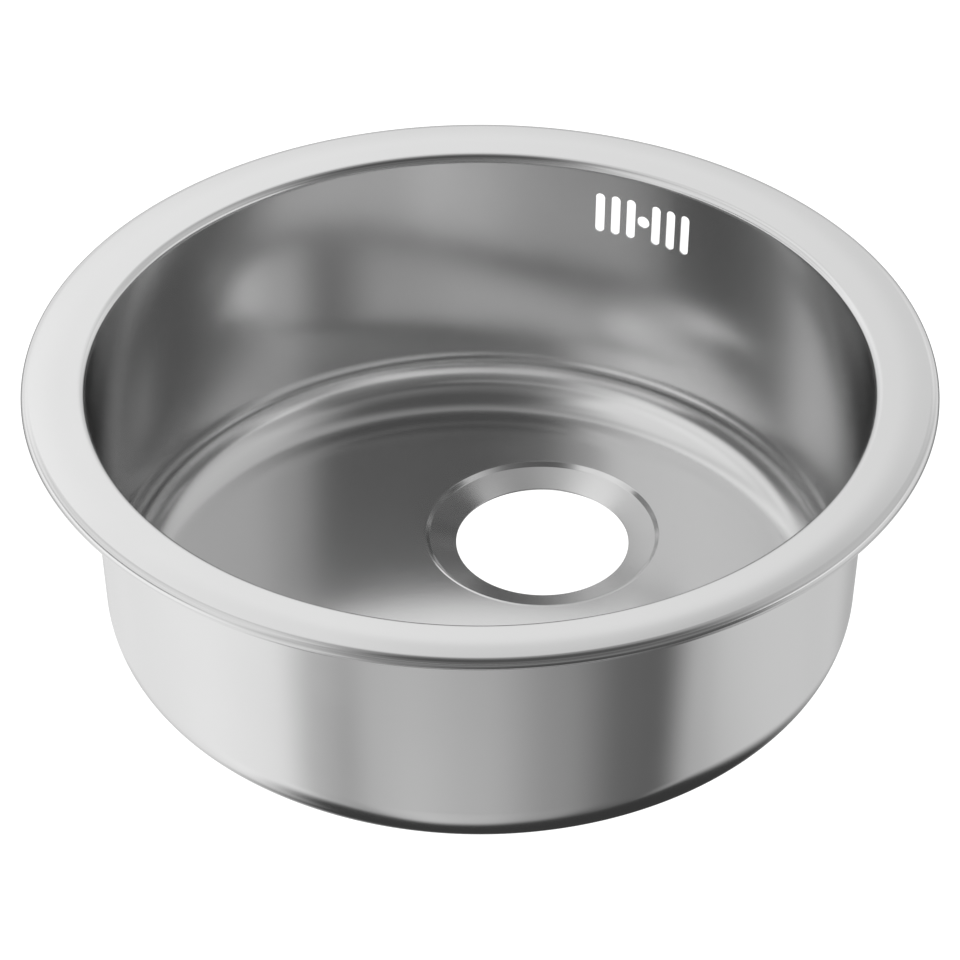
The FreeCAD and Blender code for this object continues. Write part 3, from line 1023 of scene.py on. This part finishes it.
# Brightness round the horizon by bearing in degrees. Ceiling and pit give heights, in hundreds of degrees
HORIZON = {
    "skirt": [
        (-180, 0.16), (-160, 0.32), (-140, 0.85), (-112, 1.25), (-90, 1.35), (-65, 1.25), (-35, 1.0),
        (5, 0.66), (30, 0.75), (48, 1.0), (100, 0.9), (111, 0.72), (122, 0.14), (165, 0.1), (180, 0.16),
    ],
    "seam": [
        (-180, 0.28), (-160, 0.34), (-140, 0.7), (-126, 0.9), (-108, 0.38), (-92, 0.32), (-74, 0.75),
        (-50, 1.1), (-20, 0.95), (10, 0.85), (36, 0.97), (60, 0.82), (84, 1.15), (114, 1.3),
        (131, 0.25), (180, 0.28),
    ],
    "tent_low": [
        (-180, 0.2), (-158, 0.26), (-140, 0.74), (-124, 1.06), (-70, 1.03), (-45, 1.25), (-20, 1.1),
        (0, 1.03), (18, 0.93), (36, 1.1), (56, 0.66), (88, 0.64), (110, 0.5), (128, 0.25), (180, 0.2),
    ],
    "tent_middle": [
        (-180, 0.12), (-158, 0.23), (-140, 0.66), (-124, 1.06), (-64, 1.05), (-46, 1.08), (-30, 1.27),
        (-10, 1.16), (8, 1.1), (24, 0.85), (38, 0.7), (60, 0.74), (88, 0.72), (110, 0.49), (127, 0.17),
        (180, 0.13),
    ],
    "waist": [
        (-180, 0.4), (-164, 0.46), (-148, 0.6), (-130, 0.96), (-84, 0.92), (-52, 0.82), (-30, 1.26),
        (-10, 1.16), (8, 1.07), (24, 0.92), (38, 0.74), (88, 0.7), (108, 0.5), (126, 0.2), (154, 0.17),
        (180, 0.4),
    ],
    "tent_high": [
        (-180, 0.1), (-158, 0.18), (-140, 0.52), (-126, 1.03), (-96, 1.12), (-66, 1.06), (-48, 0.86),
        (-30, 1.17), (-14, 1.08), (2, 0.88), (20, 0.72), (40, 0.71), (90, 0.72), (106, 0.58),
        (125, 0.15), (180, 0.1),
    ],
    "tent_top": [
        (-180, 0.2), (-158, 0.22), (-140, 0.5), (-126, 1.0), (-66, 0.98), (-50, 0.82), (-30, 1.15),
        (-14, 1.06), (2, 0.88), (20, 0.7), (42, 0.67), (90, 0.69), (108, 0.5), (126, 0.25), (154, 0.24),
        (180, 0.2),
    ],
    "ground_far": [
        (-180, 0.1), (-164, 0.22), (-140, 0.95), (-105, 1.25), (-60, 0.95), (-30, 0.4), (0, 0.15),
        (30, 0.25), (62, 0.8), (95, 0.82), (104, 0.7), (116, 0.1), (180, 0.07),
    ],
    "ground_strip": [
        (-180, 0.5), (-148, 0.46), (-134, 1.0), (-80, 1.0), (-45, 0.35), (0, 0.12), (45, 0.3),
        (80, 0.66), (105, 0.66), (118, 0.5), (134, 0.2), (152, 0.42), (180, 0.5),
    ],
    "ground_edge": [
        (-180, 0.07), (-160, 0.1), (-148, 0.45), (-136, 0.95), (-110, 1.15), (-75, 1.12), (-45, 1.06),
        (-22, 0.96), (0, 0.66), (22, 0.56), (42, 0.8), (98, 0.85), (108, 0.7), (122, 0.12), (150, 0.05),
        (180, 0.07),
    ],
    "ground_near": [
        (-180, 0.66), (-158, 0.76), (-147, 0.68), (-137, 0.44), (-128, 0.54), (-113, 1.05), (-85, 1.15),
        (-50, 1.04), (-20, 0.78), (10, 0.4), (40, 0.7), (64, 0.83), (99, 0.85), (107, 0.74),
        (122, 0.14), (133, 0.18), (155, 0.42), (180, 0.66),
    ],
    "ceiling_begins": [
        (-180, 0.6), (-140, 0.62), (-115, 0.715), (-75, 0.755), (-50, 0.72), (-30, 0.67), (0, 0.62),
        (22, 0.56), (44, 0.63), (66, 0.63), (90, 0.6), (110, 0.565), (150, 0.58), (180, 0.6),
    ],
    "pit_begins": [
        (-180, 0.74), (-150, 0.74), (-116, 0.58), (-60, 0.66), (-20, 0.58), (20, 0.48), (66, 0.5),
        (104, 0.48), (128, 0.66), (180, 0.74),
    ],
}

# Heights in degrees between which the light fades into the next band
TENT_BANDS = [
    (8.0, 13.0, "seam"),
    (18.0, 24.0, "tent_low"),
    (25.0, 35.0, "tent_middle"),
    (32.0, 35.0, "waist"),
    (37.0, 40.0, "tent_middle"),
    (37.0, 44.0, "tent_high"),
    (44.0, 50.0, "tent_top"),
]
GROUND_BANDS = [
    (-16.0, -4.0, "ground_far"),
    (-26.0, -22.0, "ground_strip"),
    (-38.0, -35.0, "ground_edge"),
    (-43.0, -41.0, "ground_near"),
]


def studio_group(bearing):
    """Brightness of the studio round the sink, by direction: a white tent on the left and ahead, a greyer
    one on the right, a dark room on the near side and overhead, and pale ground, dark straight below."""
    name = "Studio light"
    if name in bpy.data.node_groups:
        return bpy.data.node_groups[name]
    tree, given, out = group_tree(
        name, [("Direction", "NodeSocketVector", None)], [("Light", "NodeSocketColor")]
    )
    ceiling_near = grey(0.105)
    ceiling_ahead = grey(0.33)
    ceiling_blend = 11.0
    pit_grey = grey(0.05)
    pit_blend = 7.0
    up, round_it = turned(tree, given.outputs["Direction"], bearing)
    height = calc(tree, "DEGREES", calc(tree, "ARCSINE", up))
    band = {key: round_ramp(tree, round_it, stops) for key, stops in HORIZON.items()}
    over = calc(tree, "SUBTRACT", height, calc(tree, "MULTIPLY", band["ceiling_begins"], 100.0))
    under = calc(tree, "ADD", height, calc(tree, "MULTIPLY", band["pit_begins"], 100.0))
    light = band["skirt"]
    for low, high, key in TENT_BANDS:
        light = fade(tree, height, low, high, light, band[key])
    level = calc(tree, "SQRT", calc(tree, "SUBTRACT", 1.0, calc(tree, "MULTIPLY", up, up)))
    ahead = calc(tree, "MULTIPLY", calc(tree, "COSINE", round_it), level)
    ceiling = fade(tree, ahead, 0.0, 0.3, ceiling_near, ceiling_ahead)
    light = fade(tree, over, -ceiling_blend, ceiling_blend, light, ceiling)
    for low, high, key in GROUND_BANDS:
        light = fade(tree, height, low, high, band[key], light)
    light = fade(tree, under, -pit_blend, pit_blend, pit_grey, light)
    tree.links.new(light, out.inputs["Light"])
    return tree


def camera_ray(tree):
    return node(tree, "ShaderNodeLightPath").outputs["Is Camera Ray"]


def studio_light(tree, direction, bearing):
    made = node(tree, "ShaderNodeGroup", node_tree=studio_group(bearing))
    tree.links.new(direction, made.inputs["Direction"])
    return made.outputs["Light"]


def stage_material(name, mix, first, second):
    """A glowing material that mixes two shaders. Mix and shaders are given as functions of the tree."""
    material = bpy.data.materials.new(name)
    material.use_nodes = True
    tree = material.node_tree
    tree.nodes.clear()
    inputs = {0: mix(tree), 1: first(tree).outputs[0], 2: second(tree).outputs[0]}
    mixed = node(tree, "ShaderNodeMixShader", inputs)
    out = node(tree, "ShaderNodeOutputMaterial")
    tree.links.new(mixed.outputs[0], out.inputs[0])
    return material


class SINK_OT_stage(bpy.types.Operator):
    """Sets up the pale floor, the soft light and the camera"""
    bl_idname = "sink.stage"
    bl_label = "Stage"

    def execute(self, context):
        t = context.scene.sink_stage
        aim = Vector(t.camera_aim).normalized()
        bearing = math.atan2(aim.x, aim.y)
        just_below = cad_box[0][2] - 0.1 * MM
        white = grey(1.0)

        def camera_from_above(tree):
            above = calc(tree, "SUBTRACT", 1.0, node(tree, "ShaderNodeNewGeometry").outputs["Backfacing"])
            return calc(tree, "MULTIPLY", camera_ray(tree), above)

        def not_camera(tree):
            return calc(tree, "SUBTRACT", 1.0, camera_ray(tree))

        def clear(tree):
            return node(tree, "ShaderNodeBsdfTransparent")

        def pale(tree):
            return node(tree, "ShaderNodeEmission", {"Color": white, "Strength": t.white})

        def lit(tree):
            place = node(tree, "ShaderNodeTexCoord").outputs["Object"]
            light = studio_light(tree, place, bearing)
            return node(tree, "ShaderNodeEmission", {"Color": light, "Strength": t.light})

        start_clean()
        bpy.ops.mesh.primitive_plane_add(size=t.floor_size, location=(0.0, 0.0, just_below))
        floor = bpy.context.object
        settle(floor, "stage_floor")
        pale_floor = stage_material("Pale floor", camera_from_above, clear, pale)
        pale_floor.cycles.emission_sampling = "NONE"
        paint(floor, pale_floor)

        start_clean()
        bpy.ops.mesh.primitive_uv_sphere_add(segments=96, ring_count=48, radius=t.tent_radius)
        tent = bpy.context.object
        edit(tent, "FACE")
        pick(tent, lambda p: p.z < 0.0, "polygons")
        bpy.ops.mesh.delete(type="FACE")
        object_mode()
        settle(tent, "stage_tent")
        paint(tent, stage_material("Light tent", not_camera, clear, lit))

        world = bpy.data.worlds.new("Soft studio")
        context.scene.world = world
        world.use_nodes = True
        tree = world.node_tree
        tree.nodes.clear()
        direction = node(tree, "ShaderNodeTexCoord").outputs["Generated"]
        light = studio_light(tree, direction, bearing)
        seen = node(tree, "ShaderNodeBackground", {"Color": white, "Strength": t.white})
        mirrored = node(tree, "ShaderNodeBackground", {"Color": light, "Strength": t.light})
        inputs = {0: camera_ray(tree), 1: mirrored.outputs[0], 2: seen.outputs[0]}
        mixed = node(tree, "ShaderNodeMixShader", inputs)
        out = node(tree, "ShaderNodeOutputWorld")
        tree.links.new(mixed.outputs[0], out.inputs[0])

        start_clean()
        rotation = aim.to_track_quat("-Z", "Y").to_euler()
        bpy.ops.object.camera_add(location=t.camera_place, rotation=rotation)
        camera = bpy.context.object
        camera.name = "photo_camera"
        camera.data.lens = t.lens
        camera.data.sensor_width = 36.0
        camera.data.sensor_fit = "HORIZONTAL"
        camera.data.clip_start = 0.05
        camera.data.clip_end = 50.0
        context.scene.camera = camera
        context.scene.view_settings.view_transform = "Standard"
        return {"FINISHED"}


class SINK_PT_panel(bpy.types.Panel):
    """Lists the sink's pieces in the order they are built"""
    bl_idname = "SINK_PT_panel"
    bl_label = "Round inset sink"
    bl_space_type = "VIEW_3D"
    bl_region_type = "UI"
    bl_category = "Sink"

    def draw(self, context):
        for operator in operators:
            self.layout.operator(operator.bl_idname)
        for key, (label, group) in groups.items():
            box = self.layout.box()
            box.label(text=label)
            for setting in group.__annotations__:
                box.prop(getattr(context.scene, key), setting)


# The groups of settings by their names in the scene, each with its label in the panel
groups = {
    "sink_bowl": ("Bowl", BowlSizes),
    "sink_hardware": ("Clamps and earthing tag", HardwareSizes),
    "sink_finishes": ("Finishes", Finishes),
    "sink_stage": ("Stage", StageSettings),
}
operators = [SINK_OT_stage, SINK_OT_bowl, SINK_OT_seal, SINK_OT_pad, SINK_OT_clamps, SINK_OT_earthing]
kinds = [*(group for label, group in groups.values()), *operators, SINK_PT_panel]


def register():
    for kind in kinds:
        bpy.utils.register_class(kind)
    for key, (label, group) in groups.items():
        setattr(bpy.types.Scene, key, bpy.props.PointerProperty(type=group))


def unregister():
    for key in groups:
        delattr(bpy.types.Scene, key)
    for kind in reversed(kinds):
        bpy.utils.unregister_class(kind)


def main():
    register()
    bpy.ops.sink.stage()
    bpy.ops.sink.bowl()
    bpy.ops.sink.seal()
    bpy.ops.sink.pad()
    bpy.ops.sink.clamps()
    bpy.ops.sink.earthing()


if __name__ == "__main__":
    main()
